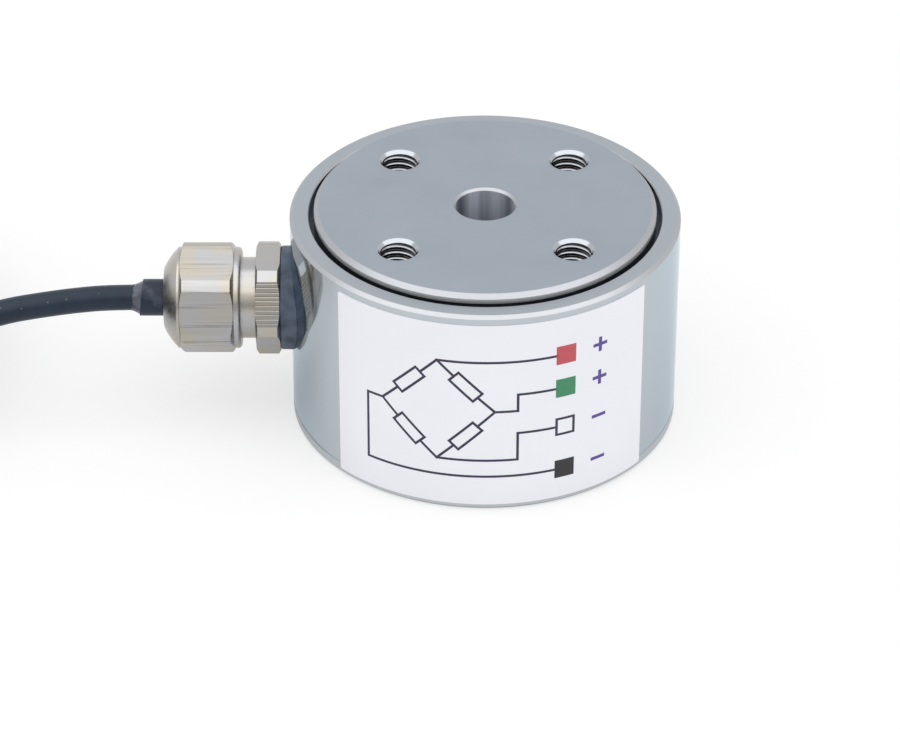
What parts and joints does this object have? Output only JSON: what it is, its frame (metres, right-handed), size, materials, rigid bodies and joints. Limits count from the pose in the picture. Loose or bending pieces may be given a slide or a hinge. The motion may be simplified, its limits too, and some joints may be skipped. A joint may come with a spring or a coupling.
{
  "type": "flange load cell",
  "caption": "Round flange load cell: a steel spring element with tapped flanges inside a housing sleeve, with a cable gland and its cable put away in a tied coil.",
  "frame": {"origin": "centre of the base flange's bolt circle, on the base face", "axes": "+Z along the load axis from the base flange to the loaded flange, -X along the cable gland"},
  "size_m": [0.1432, 0.0648, 0.027],
  "materials": {
    "spring_steel": "fine turned and satin, stainless steel",
    "sleeve_steel": "ground and polished round the outside",
    "seal_compound": "black potting compound",
    "label_film": "white polyester film, bare",
    "gauge_foil": "amber polyimide carrier with foil",
    "board": "green solder mask",
    "resistor": "glazed chip",
    "enamelled_copper": "enamelled copper wire",
    "nickel_plate": "nickel-plated brass",
    "washer_rubber": "nitrile rubber",
    "seal_rubber": "chloroprene rubber",
    "claw_polyamide": "moulded polyamide",
    "shrink_sleeve": "shrunk polyolefin",
    "adhesive": "hot-melt glue",
    "cable_jacket": "dark grey cable jacket",
    "tie_nylon": "natural nylon",
    "tinned_copper": "tinned copper",
    "red_insulation": "extruded insulation",
    "white_insulation": "extruded insulation",
    "green_insulation": "extruded insulation",
    "black_insulation": "extruded insulation"
  },
  "bodies": {
    "root": {"spring_element": "spring_steel", "housing_sleeve": "sleeve_steel", "gap_seal": "seal_compound", "label": "label_film", "strain_gauges": "gauge_foil", "terminal_board": "board", "trim_resistors": "resistor", "gauge_wires": "enamelled_copper", "gland_body": "nickel_plate", "gland_nut": "nickel_plate", "gland_washer": "washer_rubber", "gland_seal": "seal_rubber", "gland_claw": "claw_polyamide", "heat_shrink": "shrink_sleeve", "sleeve_adhesive": "adhesive", "cable_inner_end": "cable_jacket", "cable_run": "cable_jacket", "cable_coil": "cable_jacket", "cable_tail": "cable_jacket", "coil_ties": "tie_nylon", "end_sleeve": "shrink_sleeve", "lead_tips": "tinned_copper", "core_shield": "tinned_copper", "lead_shield": "tinned_copper", "core_red": "red_insulation", "lead_red": "red_insulation", "core_white": "white_insulation", "lead_white": "white_insulation", "core_green": "green_insulation", "lead_green": "green_insulation", "core_black": "black_insulation", "lead_black": "black_insulation"}
  },
  "joints": []
}
